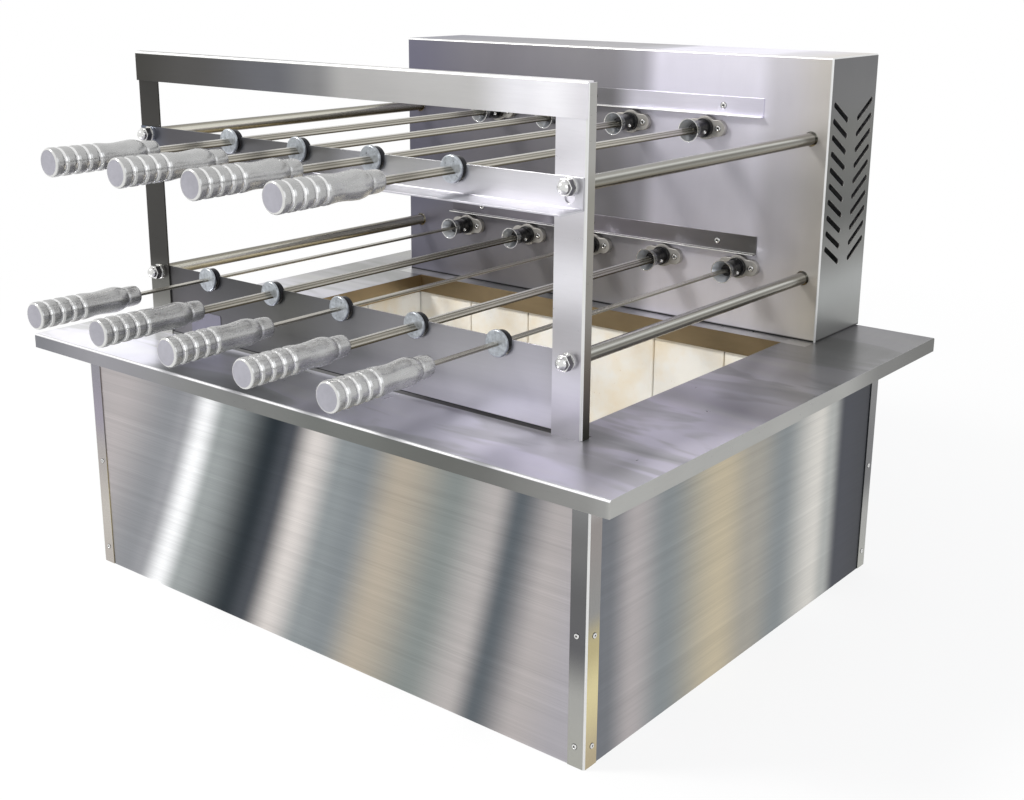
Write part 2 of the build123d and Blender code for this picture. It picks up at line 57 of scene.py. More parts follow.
# Light. A pale studio: an even sky, one broad lamp from the upper left of the front and a weak one from
# the right. The camera and the steel both see the white backdrop.
def math_node(tree, operation, a, b=None, c=None):
    node = tree.nodes.new("ShaderNodeMath")
    node.operation = operation
    for socket, value in zip(node.inputs, (a, b, c)):
        if value is None:
            continue
        if isinstance(value, (int, float)):
            socket.default_value = value
        else:
            tree.links.new(value, socket)
    return node.outputs[0]


def sees_backdrop(tree):
    # One for a ray that the camera, a mirror or glass sends out, and none for one that lights a dull surface
    ray = tree.nodes.new("ShaderNodeLightPath")
    mirrored = math_node(tree, "MAXIMUM", ray.outputs["Is Glossy Ray"], ray.outputs["Is Transmission Ray"])
    return math_node(tree, "MAXIMUM", ray.outputs["Is Camera Ray"], mirrored)


world = bpy.data.worlds.new("studio")
world.use_nodes = True
bpy.context.scene.world = world
tree = world.node_tree
tree.nodes.clear()
sky = tree.nodes.new("ShaderNodeBackground")
sky.inputs["Color"].default_value = (0.94, 0.96, 1.0, 1.0)
sky.inputs["Strength"].default_value = 0.66
backdrop = tree.nodes.new("ShaderNodeBackground")
backdrop.inputs["Color"].default_value = (1.0, 1.0, 1.0, 1.0)
backdrop.inputs["Strength"].default_value = 1.0
chosen = tree.nodes.new("ShaderNodeMixShader")
surface = tree.nodes.new("ShaderNodeOutputWorld")
tree.links.new(sees_backdrop(tree), chosen.inputs[0])
tree.links.new(sky.outputs[0], chosen.inputs[1])
tree.links.new(backdrop.outputs[0], chosen.inputs[2])
tree.links.new(chosen.outputs[0], surface.inputs[0])
for name, place, aim, size, watts, tint in (
        ("key_lamp", (-1.75, -1.95, 2.9), (0.0, 0.0, 0.35), 0.8, 104.0, (1.0, 0.985, 0.96)),
        ("fill_lamp", (2.6, -0.4, 1.5), (0.0, 0.0, 0.4), 1.8, 12.0, (0.92, 0.95, 1.0))):
    lamp = bpy.data.lights.new(name, "AREA")
    lamp.size = size
    lamp.energy = watts
    lamp.color = tint
    holder = bpy.data.objects.new(name, lamp)
    holder.location = place
    holder.rotation_euler = (Vector(place) - Vector(aim)).to_track_quat("Z", "Y").to_euler()
    bpy.context.collection.objects.link(holder)

# Floor. A plain white paper sheet laid under the grill, just clear of its underside.
# It keeps a soft shadow near the grill and fades into the backdrop further out.
def own_place(tree):
    # The piece's own coordinates, in metres
    return tree.nodes.new("ShaderNodeTexCoord").outputs["Object"]


paper_size = 12.0
paper_below = 0.0004
shadow_reach = 0.7
paper_reach = 2.2
shape = bmesh.new()
bmesh.ops.create_grid(shape, x_segments=1, y_segments=1, size=paper_size,
                      matrix=Matrix.Translation((0, 0, -paper_below)))
sheet = bpy.data.meshes.new("floor")
shape.to_mesh(sheet)
shape.free()
paper = bpy.data.materials.new("studio_paper")
paper.use_nodes = True
tree = paper.node_tree
shader = tree.nodes["Principled BSDF"]
shader.inputs["Base Color"].default_value = (0.95, 0.95, 0.95, 1.0)
shader.inputs["Roughness"].default_value = 0.9
white = tree.nodes.new("ShaderNodeEmission")
white.inputs["Color"].default_value = (1.0, 1.0, 1.0, 1.0)
spread = tree.nodes.new("ShaderNodeVectorMath")
spread.operation = "LENGTH"
tree.links.new(own_place(tree), spread.inputs[0])
fade = tree.nodes.new("ShaderNodeMapRange")
fade.inputs["From Min"].default_value = shadow_reach
fade.inputs["From Max"].default_value = paper_reach
fade.inputs["To Min"].default_value = 0.86
fade.inputs["To Max"].default_value = 1.0
tree.links.new(spread.outputs["Value"], fade.inputs["Value"])
chosen = tree.nodes.new("ShaderNodeMixShader")
tree.links.new(math_node(tree, "MULTIPLY", sees_backdrop(tree), fade.outputs[0]), chosen.inputs[0])
tree.links.new(shader.outputs[0], chosen.inputs[1])
tree.links.new(white.outputs[0], chosen.inputs[2])
tree.links.new(chosen.outputs[0], tree.nodes["Material Output"].inputs[0])
sheet.materials.append(paper)
floor = bpy.data.objects.new("floor", sheet)
bpy.context.collection.objects.link(floor)


# Base panels. Four sheets of brushed stainless, riveted behind the corner trims, with the grain level round
# the box, and a plain pan that closes it below. The broad upright bands in which the brushed face mirrors
# the room are painted into its tone as slow changes: painted reflections, pale and dark.
def stretched_noise(tree, stretch, scale, detail, rough=0.6):
    # Noise drawn out along the directions where "stretch" is small
    scaled = tree.nodes.new("ShaderNodeVectorMath")
    scaled.operation = "MULTIPLY"
    tree.links.new(own_place(tree), scaled.inputs[0])
    if isinstance(stretch, (tuple, list)):
        scaled.inputs[1].default_value = stretch
    else:
        tree.links.new(stretch, scaled.inputs[1])
    noise = tree.nodes.new("ShaderNodeTexNoise")
    noise.inputs["Scale"].default_value = scale
    noise.inputs["Detail"].default_value = detail
    noise.inputs["Roughness"].default_value = rough
    tree.links.new(scaled.outputs[0], noise.inputs["Vector"])
    return noise.outputs["Fac"]


grain = bpy.data.node_groups.new("brushed_grain", "ShaderNodeTree")
for label, kind in (("Color", "Color"), ("Stretch", "Vector"), ("Contrast", "Float"), ("Roughness", "Float"),
                    ("Cloud", "Float"), ("Wear", "Float")):
    grain.interface.new_socket(label, in_out="INPUT", socket_type="NodeSocket" + kind)
for label, kind in (("Color", "Color"), ("Roughness", "Float"), ("Height", "Float")):
    grain.interface.new_socket(label, in_out="OUTPUT", socket_type="NodeSocket" + kind)
given = grain.nodes.new("NodeGroupInput")
result = grain.nodes.new("NodeGroupOutput")
fine = stretched_noise(grain, given.outputs["Stretch"], 1.0, 4.0, 0.7)
streak = stretched_noise(grain, given.outputs["Stretch"], 0.16, 2.0)
cloud = stretched_noise(grain, (1, 1, 1), 6.0, 3.0, 0.5)
fine_share = 0.6
lines = math_node(grain, "ADD", math_node(grain, "MULTIPLY", fine, fine_share),
                  math_node(grain, "MULTIPLY", streak, 1 - fine_share))
swing = math_node(grain, "MULTIPLY", math_node(grain, "SUBTRACT", lines, 0.5), given.outputs["Contrast"])
haze = math_node(grain, "MULTIPLY", math_node(grain, "SUBTRACT", cloud, 0.5), given.outputs["Cloud"])
tone = grain.nodes.new("ShaderNodeVectorMath")
tone.operation = "SCALE"
grain.links.new(given.outputs["Color"], tone.inputs[0])
grain.links.new(math_node(grain, "ADD", math_node(grain, "ADD", swing, haze), 1.0), tone.inputs["Scale"])
grain.links.new(tone.outputs[0], result.inputs["Color"])
scatter = math_node(grain, "MULTIPLY", math_node(grain, "SUBTRACT", fine, 0.5), given.outputs["Wear"])
grain.links.new(math_node(grain, "ADD", given.outputs["Roughness"], scatter), result.inputs["Roughness"])
grain.links.new(lines, result.inputs["Height"])


def steel(name, color, stretch=(3.0, 3.0, 900.0), contrast=0.3, roughness=0.34, metallic=0.9, bump=0.02,
          cloud=0.15, wear=0.15, depth=0.0004):
    # A stainless finish: the colour, the direction and strength of its grain, and how sharply it mirrors
    finish = bpy.data.materials.new(name)
    finish.use_nodes = True
    tree = finish.node_tree
    shader = tree.nodes["Principled BSDF"]
    shader.inputs["Metallic"].default_value = metallic
    group = tree.nodes.new("ShaderNodeGroup")
    group.node_tree = grain
    group.inputs["Color"].default_value = (*color, 1.0)
    group.inputs["Stretch"].default_value = stretch
    group.inputs["Contrast"].default_value = contrast
    group.inputs["Roughness"].default_value = roughness
    group.inputs["Cloud"].default_value = cloud
    group.inputs["Wear"].default_value = wear
    relief = tree.nodes.new("ShaderNodeBump")
    relief.inputs["Strength"].default_value = bump
    relief.inputs["Distance"].default_value = depth
    tree.links.new(group.outputs["Color"], shader.inputs["Base Color"])
    tree.links.new(group.outputs["Roughness"], shader.inputs["Roughness"])
    tree.links.new(group.outputs["Height"], relief.inputs["Height"])
    tree.links.new(relief.outputs["Normal"], shader.inputs["Normal"])
    return finish


def seen(red, green, blue):
    # The colour of a surface that shows as this tone, from 0 to 255, in even white light
    return tuple((part / 255) ** 2.2 for part in (red, green, blue))


def ramp_along(tree, value, stops):
    # A soft run of tones, from the first mark to the last
    low, span = stops[0][0], stops[-1][0] - stops[0][0]
    ramp = tree.nodes.new("ShaderNodeValToRGB")
    ramp.color_ramp.interpolation = "EASE"
    tree.links.new(math_node(tree, "MULTIPLY_ADD", value, 1 / span, -low / span), ramp.inputs[0])
    marks = ramp.color_ramp.elements
    marks[0].color = (*seen(*stops[0][1:]), 1.0)
    marks[1].color = (*seen(*stops[-1][1:]), 1.0)
    for at, *tone in stops[1:-1]:
        marks.new((at - low) / span).color = (*seen(*tone), 1.0)
    return ramp.outputs[0]


def multiplied(tree, first, second):
    # One colour darkened by another
    blend = tree.nodes.new("ShaderNodeMix")
    blend.data_type = "RGBA"
    blend.blend_type = "MULTIPLY"
    blend.inputs["Factor"].default_value = 1.0
    tree.links.new(first, blend.inputs["A"])
    tree.links.new(second, blend.inputs["B"])
    return blend.outputs["Result"]


def along_axes(tree):
    # The piece's own X, Y and Z, by name
    parts = tree.nodes.new("ShaderNodeSeparateXYZ")
    tree.links.new(own_place(tree), parts.inputs[0])
    return parts.outputs


def tinted(finish, color):
    # Feeds a colour that changes over the surface into the grain of a finish
    group = next(node for node in finish.node_tree.nodes if node.type == "GROUP")
    finish.node_tree.links.new(color, group.inputs["Color"])
    return finish


def banded(name, axis, stops, across=(), lean=0.0, fan=0.0, **grain_values):
    # Brushed steel with painted reflections and shade: its tone changes along one axis in soft bands, and again
    # along a second axis where "across" names one. The bands lean by "lean" at X = 0, and by "fan" more for each
    # metre.
    finish = steel(name, neutral, **grain_values)
    tree = finish.node_tree
    parts = along_axes(tree)
    along = parts[axis]
    if lean:
        slope = math_node(tree, "MULTIPLY_ADD", along, fan, lean)
        rise = math_node(tree, "SUBTRACT", parts["Z"], panel_middle)
        along = math_node(tree, "SUBTRACT", along, math_node(tree, "MULTIPLY", slope, rise))
    tone = ramp_along(tree, along, stops)
    if across:
        tone = multiplied(tree, tone, ramp_along(tree, parts[across[0]], across[1:]))
    return tinted(finish, tone)


def dress(node, finish):
    # Gives a CAD piece, whose shape is right, its finish
    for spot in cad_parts[node].material_slots:
        spot.material = finish


neutral = (0.6, 0.6, 0.6)
panel_middle = 0.165
panel_grain = {"stretch": (5.0, 5.0, 900.0), "bump": 0.05}
# Painted reflections: soft bands of tone along the front and back panels and along the sides.
front_painted_reflections = banded("brushed_sheet_front", "X", (
    (-0.40, 178, 172, 172), (-0.285, 138, 140, 144), (-0.258, 150, 151, 155), (-0.220, 248, 249, 250),
    (-0.184, 152, 157, 157),
    (-0.09, 38, 46, 52), (-0.06, 70, 74, 80), (-0.015, 214, 208, 204), (0.035, 140, 146, 148),
    (0.07, 131, 137, 140),
    (0.13, 178, 168, 153), (0.21, 134, 140, 138), (0.268, 180, 175, 173), (0.302, 94, 100, 105),
    (0.355, 178, 172, 171), (0.41, 168, 165, 170)), lean=0.37, fan=-0.42, contrast=0.7, **panel_grain)
side_painted_reflections = banded("brushed_sheet_side", "Y", (
    (-0.33, 104, 108, 116), (-0.30, 112, 115, 120), (-0.25, 174, 168, 168), (-0.19, 132, 138, 140),
    (-0.07, 192, 180, 154), (0.0, 162, 158, 148), (0.075, 130, 136, 138), (0.17, 214, 211, 204),
    (0.205, 172, 174, 171), (0.24, 44, 48, 60), (0.33, 18, 24, 36)), contrast=0.75, **panel_grain)
for side, finish in (("front", front_painted_reflections), ("back", front_painted_reflections), ("left", side_painted_reflections), ("right", side_painted_reflections)):
    dress(f"base_{side}_panel", finish)
plain_sheet = steel("plain_sheet", (0.50, 0.50, 0.51), (60, 60, 60), 0.25, 0.42)
dress("base_pan", plain_sheet)


# Corner trims. Bent strips of polished stainless that hide the corners of the base, with a round bend.
# A merged copy of the CAD piece gets its bend, painted with a highlight, and its broken edges.
def finished(shape, name, finish, body, slot, *nodes, angle=34):
    mesh = bpy.data.meshes.new(name)
    shape.to_mesh(mesh)
    shape.free()
    mesh.materials.append(finish)
    mesh.shade_smooth()
    mesh.set_sharp_from_angle(angle=math.radians(angle))
    piece = bpy.data.objects.new(name, mesh)
    bpy.context.collection.objects.link(piece)
    even = piece.modifiers.new("flat_faces_first", "WEIGHTED_NORMAL")
    even.weight = 100
    even.keep_sharp = True
    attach(piece, body)
    if nodes:
        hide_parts(*nodes)
    return piece


def coated(piece, finish, chosen):
    # Gives another finish to the faces that pass a test of their middle and their direction
    piece.data.materials.append(finish)
    last = len(piece.data.materials) - 1
    for face in piece.data.polygons:
        if chosen(face.center, face.normal):
            face.material_index = last


def rounded(shape, edges, radius, segments):
    # Rounds edges and returns the new faces
    return bmesh.ops.bevel(shape, geom=edges, offset=radius, offset_type="OFFSET", affect="EDGES",
                           segments=segments, profile=0.5, material=-1, clamp_overlap=True)["faces"]


def at_place(corner, place):
    # Whether a corner lies where each named axis says
    return all(abs(corner.co["xyz".index(axis)] - at) < 0.00003 for axis, at in place.items())


def softened(node, name, finish, body, slot, edge=0.0003, bends=(), fold_highlight=None):
    # A merged copy of a CAD piece with rounded bends, painted with a fold highlight where one is given, and broken
    # edges
    shape = bmesh.new()
    shape.from_mesh(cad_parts[node].data)
    bmesh.ops.remove_doubles(shape, verts=shape.verts, dist=0.000004)
    bmesh.ops.dissolve_limit(shape, angle_limit=math.radians(0.8), verts=shape.verts, edges=shape.edges)
    for radius, place in bends:
        folds = [line for line in shape.edges
                 if len(line.link_faces) == 2 and abs(line.calc_face_angle(0.0)) > math.radians(40)
                 and all(at_place(corner, place) for corner in line.verts)]
        for face in rounded(shape, folds, radius, 5):
            face.material_index = 1 if fold_highlight else 0
    if edge:
        rounded(shape, [line for line in shape.edges
                        if len(line.link_faces) == 2 and line.calc_face_angle(0.0) > math.radians(50)], edge, 2)
    piece = finished(shape, name, finish, body, slot, node)
    if fold_highlight:
        piece.data.materials.append(fold_highlight)
    return piece


# Painted highlight: a pale tone on the rounded folds and corners, where a bend catches the light.
painted_highlight_fold = steel("painted_highlight_fold", seen(224, 224, 222), (30, 30, 30), contrast=0.15, roughness=0.36,
                    metallic=0.7, bump=0.0, cloud=0.2)
trim_x = 0.4162
trim_y = 0.3372
trim_grain = {"stretch": (4.0, 4.0, 18.0), "contrast": 0.15, "roughness": 0.18, "cloud": 0.2}
# Painted reflections: each leg of a trim is painted in soft bands of tone up its height.
far_trim = banded("polished_trim_left", "Z", (
    (0.0, 176, 170, 164), (0.08, 186, 181, 174), (0.16, 168, 163, 160), (0.22, 150, 144, 156),
    (0.32, 141, 142, 147)), **trim_grain)
near_trim = banded("polished_trim_near", "Z", (
    (0.0, 164, 164, 157), (0.075, 160, 160, 156), (0.14, 96, 96, 98), (0.19, 98, 98, 99), (0.25, 112, 112, 112),
    (0.32, 136, 137, 137)), **trim_grain)
side_trim = banded("polished_trim_side", "Z", (
    (0.0, 176, 162, 132), (0.09, 216, 203, 154), (0.14, 184, 172, 129), (0.18, 143, 142, 140),
    (0.27, 146, 140, 137),
    (0.32, 200, 200, 200)), **trim_grain)
strips = softened("corner_trims", "trim_strips", far_trim, "frame", "polished_trim", 0.0002,
                  [(0.003, {"x": sx * trim_x, "y": sy * trim_y}) for sx in (-1, 1) for sy in (-1, 1)], painted_highlight_fold)
coated(strips, near_trim, lambda middle, facing: middle.x > 0 and facing.y < -0.9)
coated(strips, side_trim, lambda middle, facing: abs(facing.x) > 0.9 and middle.y < 0)
coated(strips, near_trim, lambda middle, facing: abs(facing.x) > 0.9 and middle.y > 0)

# Countertop. One satin stainless sheet, folded down round the rim and into the fire opening.
# Its folds have a small round, with a painted highlight along the edge where it catches the light.
top = 0.330
half_width = 0.470
half_depth = 0.3825
opening_x = 0.3225
opening_front = -0.237
opening_back = 0.227
# Painted reflections across the top, and along its depth painted shadows of the rods and posts, darker towards the
# back.
satin_top = banded("satin_countertop", "X", (
    (-0.47, 255, 255, 255), (-0.26, 246, 247, 252), (-0.20, 178, 179, 185), (-0.05, 172, 173, 179),
    (0.05, 182, 182, 190), (0.2, 196, 196, 204), (0.28, 224, 222, 230), (0.36, 206, 204, 212),
    (0.41, 206, 205, 212), (0.47, 204, 203, 208)),
    ("Y", (-0.39, 255, 255, 255), (-0.17, 246, 246, 246), (-0.11, 226, 226, 226), (-0.065, 176, 176, 177),
     (0.0, 204, 204, 205), (0.045, 206, 206, 205), (0.1, 170, 170, 167), (0.2, 150, 150, 146),
     (0.39, 140, 140, 136)),
    stretch=(26, 9, 30), contrast=0.16, roughness=0.3, metallic=0.75, cloud=0.45, bump=0.0)


def slant_streaked(finish):
    # Slanting soft streaks of paler and darker tone, over the tone that a finish has
    tree = finish.node_tree
    turn = tree.nodes.new("ShaderNodeMapping")
    turn.inputs["Rotation"].default_value = (0.0, 0.0, math.radians(-38))
    turn.inputs["Scale"].default_value = (3.2, 13.0, 3.0)
    tree.links.new(own_place(tree), turn.inputs["Vector"])
    smear = tree.nodes.new("ShaderNodeTexNoise")
    smear.inputs["Scale"].default_value = 1.0
    smear.inputs["Detail"].default_value = 3.0
    smear.inputs["Distortion"].default_value = 0.9
    tree.links.new(turn.outputs["Vector"], smear.inputs["Vector"])
    group = next(node for node in tree.nodes if node.type == "GROUP")
    return multiplied(tree, group.inputs["Color"].links[0].from_socket, ramp_along(tree, smear.outputs["Fac"], (
        (0.30, 186, 187, 186), (0.44, 216, 216, 217), (0.52, 246, 244, 252), (0.70, 255, 254, 255))))


def over_patch(tree, color, middle, half, strength):
    # Paints shade or light on a right-angled patch of the sheet, by darkening or lightening it
    parts = along_axes(tree)
    inside = math_node(tree, "MULTIPLY", math_node(tree, "COMPARE", parts["X"], middle[0], half[0]),
                       math_node(tree, "COMPARE", parts["Y"], middle[1], half[1]))
    scaled = tree.nodes.new("ShaderNodeVectorMath")
    scaled.operation = "SCALE"
    tree.links.new(color, scaled.inputs[0])
    tree.links.new(math_node(tree, "MULTIPLY_ADD", inside, strength - 1.0, 1.0), scaled.inputs["Scale"])
    return scaled.outputs[0]


# Painted shade darkens the top in the gap under the front plate, and painted light brightens the strip between the
# opening and the motor box
shade_under_plate = {"middle": (-0.006, -0.2540), "half": (0.357, 0.0095), "strength": 0.06}
light_behind_opening = {"middle": (-0.006, 0.2405), "half": (0.364, 0.0135), "strength": 2.1}
tree = satin_top.node_tree
tinted(satin_top, over_patch(tree, over_patch(tree, slant_streaked(satin_top), **shade_under_plate), **light_behind_opening))
# Painted reflections along the folded-down rim, which is darker towards the back.
satin_rim = banded("satin_rim", "X", (
    (-0.472, 124, 125, 130), (-0.33, 150, 149, 154), (-0.1, 130, 131, 130), (0.1, 112, 114, 111),
    (0.26, 102, 103, 100), (0.44, 138, 138, 136), (0.466, 150, 150, 148), (0.472, 178, 178, 174)),
    ("Y", (-0.39, 255, 255, 255), (0.1, 246, 246, 246), (0.22, 170, 170, 170), (0.39, 140, 140, 138)),
    stretch=(60, 60, 300), contrast=0.18, roughness=0.3, cloud=0.3)
counter_fold_highlight = steel("counter_fold_highlight", seen(192, 192, 194), (30, 30, 30), contrast=0.2, roughness=0.55, metallic=0.7,
                  bump=0.0, cloud=0.5)
flange_steel = steel("opening_flange", seen(150, 134, 108), (14, 14, 60), contrast=0.5, roughness=0.34, cloud=1.2)
rim_bend = 0.0032
opening_bend = 0.0018
bends = [(rim_bend, {"z": top, "y": -half_depth}), (rim_bend, {"z": top, "y": half_depth}),
         (rim_bend, {"z": top, "x": -half_width}), (rim_bend, {"z": top, "x": half_width}),
         (opening_bend, {"z": top, "y": opening_front}), (opening_bend, {"z": top, "y": opening_back}),
         (opening_bend, {"z": top, "x": -opening_x}), (opening_bend, {"z": top, "x": opening_x})]
counter = softened("countertop", "counter_sheet", satin_top, "frame", "satin_sheet", 0.0002, bends, counter_fold_highlight)
coated(counter, satin_rim, lambda middle, facing: abs(facing.z) < 0.3
       and (abs(middle.x) > half_width - 0.0005 or abs(middle.y) > half_depth - 0.0005))
coated(counter, flange_steel, lambda middle, facing: abs(facing.z) < 0.3 and abs(middle.x) < opening_x + 0.0075
       and opening_front - 0.003 < middle.y < opening_back + 0.003)

# Firebox. Standard firebricks stand on edge round a steel shell, with thin joints, and more lie flat as the floor.
# The fired clay is cream with brown specks and a few scorched patches.
clay = bpy.data.materials.new("firebrick")
clay.use_nodes = True
tree = clay.node_tree
shader = tree.nodes["Principled BSDF"]
shader.inputs["Roughness"].default_value = 0.88
patches = stretched_noise(tree, (1, 1, 1), 9.0, 4.0, 0.6)
specks = stretched_noise(tree, (1, 1, 1), 420.0, 2.0, 0.5)
clay_ramp = tree.nodes.new("ShaderNodeValToRGB")
speck_ramp = tree.nodes.new("ShaderNodeValToRGB")
for ramp, pattern, marks in (
        (clay_ramp, patches, ((0.47, (1.0, 0.985, 0.94, 1.0)), (0.78, (0.92, 0.78, 0.55, 1.0)))),
        (speck_ramp, specks, ((0.70, (1.0, 1.0, 1.0, 1.0)), (0.80, (0.55, 0.36, 0.2, 1.0))))):
    for element, (at, color) in zip(ramp.color_ramp.elements, marks):
        element.position = at
        element.color = color
    tree.links.new(pattern, ramp.inputs[0])
tree.links.new(multiplied(tree, clay_ramp.outputs[0], speck_ramp.outputs[0]), shader.inputs["Base Color"])
relief = tree.nodes.new("ShaderNodeBump")
relief.inputs["Strength"].default_value = 0.35
relief.inputs["Distance"].default_value = 0.0006
tree.links.new(specks, relief.inputs["Height"])
tree.links.new(relief.outputs["Normal"], shader.inputs["Normal"])
brick_edge = 0.0014
softened("firebrick_walls", "wall_bricks", clay, "frame", "firebrick", brick_edge)
softened("firebrick_floor", "floor_bricks", clay, "frame", "firebrick", brick_edge)
dress("firebox_shell", plain_sheet)

# Front frame. Two angle posts carry an angle bar, the upper skewer rest and the lower plate, all of satin
# stainless sheet. The outer folds are round, with a painted highlight; the sheared edges are only broken.
frame_left = -0.365
frame_right = 0.353
frame_top = 0.702
post_face = -0.266
bar_face = -0.268
rest_under = 0.573
frame_bend = 0.0028
sheared = 0.0003
upright = {"stretch": (30, 30, 260), "contrast": 0.16, "roughness": 0.3, "cloud": 0.3}
level = {"stretch": (16, 30, 300), "contrast": 0.18, "roughness": 0.33, "cloud": 0.3}
# Painted reflections and shade: the left post dark, the right post pale, both in bands up their height.
post_dark = banded("satin_post_left", "Z", (
    (0.33, 170, 170, 166), (0.39, 108, 108, 104), (0.44, 66, 65, 63), (0.55, 68, 67, 65),
    (0.70, 58, 57, 55)), **upright)
post_pale = banded("satin_post_right", "Z", (
    (0.33, 188, 186, 192), (0.39, 206, 204, 214), (0.43, 182, 180, 184), (0.5, 230, 229, 234),
    (0.55, 196, 194, 198),
    (0.60, 236, 234, 240), (0.70, 232, 231, 236)), **upright)
post_side = banded("satin_post_flange", "Z", (
    (0.33, 56, 56, 48), (0.39, 102, 95, 87), (0.48, 136, 133, 127), (0.58, 144, 142, 134), (0.63, 166, 165, 161),
    (0.70, 164, 163, 160)), **upright)
softened("left_post", "post_left", post_dark, "frame", "satin_sheet", sheared,
         [(frame_bend, {"x": frame_left, "y": post_face})])
mast = softened("right_post", "post_right", post_pale, "frame", "satin_sheet", sheared,
                [(frame_bend, {"x": frame_right, "y": post_face})], painted_highlight_fold)
coated(mast, post_side, lambda middle, facing: abs(facing.x) > 0.9)
# Painted reflections: the bar and the rest are painted dark on the left and pale on the right.
bar_steel = banded("satin_bar", "X", (
    (-0.365, 66, 65, 62), (-0.25, 82, 81, 80), (-0.1, 105, 106, 111), (-0.03, 132, 132, 133),
    (0.02, 174, 173, 172),
    (0.2, 190, 189, 188), (0.27, 238, 237, 242), (0.31, 247, 246, 250), (0.353, 222, 220, 225)), **level)
softened("top_bar", "bar_top", bar_steel, "frame", "satin_sheet", sheared,
         [(frame_bend, {"y": bar_face, "z": frame_top})], painted_highlight_fold)
rest_steel = banded("satin_rest", "X", (
    (-0.362, 98, 104, 117), (-0.3, 86, 85, 88), (-0.15, 100, 100, 102), (-0.02, 112, 112, 112),
    (0.03, 146, 146, 150), (0.1, 166, 166, 166), (0.19, 174, 174, 178), (0.26, 216, 215, 220),
    (0.32, 220, 219, 224), (0.35, 190, 190, 194)),
    **level)
# Painted highlight: the rest's lip and its small upper fold are painted pale.
rest_lip = steel("satin_rest_lip", seen(196, 195, 202), contrast=0.2, roughness=0.45, metallic=0.8, cloud=0.3)
shelf = softened("upper_skewer_rest", "rest_upper", rest_steel, "frame", "satin_sheet", sheared,
                 [(frame_bend, {"y": post_face, "z": rest_under}),
                  (0.001, {"y": bar_face, "z": rest_under + 0.002})], rest_lip)
coated(shelf, rest_lip, lambda middle, facing: middle.z < rest_under + 0.0025)
# Painted reflections along the plate, dark on the left, and painted shade in a thin dark line along its foot.
plate_steel = banded("satin_plate", "X", (
    (-0.36, 88, 87, 86), (-0.28, 108, 107, 110), (-0.2, 102, 102, 104), (-0.1, 112, 112, 109),
    (0.0, 134, 134, 136), (0.1, 170, 169, 173), (0.2, 196, 195, 200), (0.29, 214, 212, 222),
    (0.36, 190, 188, 192)),
    ("Z", (0.334, 30, 30, 30), (0.3348, 60, 60, 60), (0.3356, 255, 255, 255), (0.35, 255, 255, 255),
     (0.37, 222, 222, 222), (0.43, 198, 198, 198)), **level)
softened("lower_front_plate", "plate_lower", plate_steel, "frame", "satin_sheet", 0.0002)

# Tie rods. Four round bars run from the posts to a flange inside the motor box, each with a washer and a
# dome nut. The bars are ground stainless with a painted highlight along the top and painted shade beneath,
# in brown tones on the left pair; the nuts are polished, with painted shade on the flats that face aside or down.
def turned(shape, points, place, steps=40):
    # Spins an outline of (radius, length along Y) about Y, in millimetres, and sets it at a place in metres
    corners = [shape.verts.new((radius / 1000, along / 1000, 0.0)) for radius, along in points]
    chain = [shape.edges.new(pair) for pair in zip(corners, corners[1:])]
    bmesh.ops.spin(shape, geom=corners + chain, cent=(0, 0, 0), axis=(0, 1, 0), angle=math.tau,
                   steps=steps, use_merge=True)
    bmesh.ops.remove_doubles(shape, verts=shape.verts, dist=0.000002)
    bmesh.ops.recalc_face_normals(shape, faces=shape.faces)
    bmesh.ops.translate(shape, verts=shape.verts, vec=place)


def added(shape, other):
    # Puts one shape into another and lets it go
    scrap = bpy.data.meshes.new("form")
    other.to_mesh(scrap)
    other.free()
    shape.from_mesh(scrap)
    bpy.data.meshes.remove(scrap)


def shaded_over(finish, axis_height, stops):
    # Painted highlight and shade over the height of a bar, whose axis lies at one height in the lower row and a
    # row higher in the upper
    tree = finish.node_tree
    height = math_node(tree, "SUBTRACT", along_axes(tree)["Z"], axis_height - below_axis)
    over_axis = math_node(tree, "SUBTRACT", math_node(tree, "MODULO", height, row_rise), below_axis)
    return tinted(finish, ramp_along(tree, over_axis, stops))


row_rise = 0.183
below_axis = 0.1
rod_inset = 0.0195
lower_rod = top + 0.084
bar_grain = {"stretch": (20, 500, 20), "contrast": 0.14, "roughness": 0.2, "cloud": 0.25}
# Painted highlight along the top of each bar and painted shade beneath; the left bars in brown tones.
ground = shaded_over(steel("ground_bar", neutral, **bar_grain), lower_rod, (
    (-0.008, 120, 108, 84), (-0.005, 84, 76, 60), (-0.003, 112, 106, 90), (-0.0005, 134, 132, 124),
    (0.002, 112, 110, 103), (0.0045, 190, 190, 184), (0.006, 150, 148, 141), (0.008, 128, 126, 121)))
brown_shaded = shaded_over(steel("brown_shaded_bar", neutral, **bar_grain), lower_rod, (
    (-0.008, 84, 70, 44), (-0.005, 128, 116, 86), (-0.003, 150, 142, 118), (-0.0005, 196, 192, 176),
    (0.002, 218, 215, 202), (0.0045, 206, 204, 192), (0.006, 156, 152, 140), (0.008, 110, 106, 96)))
bright = steel("bright_fastener", seen(218, 218, 216), (90, 90, 90), contrast=0.12, roughness=0.14, cloud=0.1)
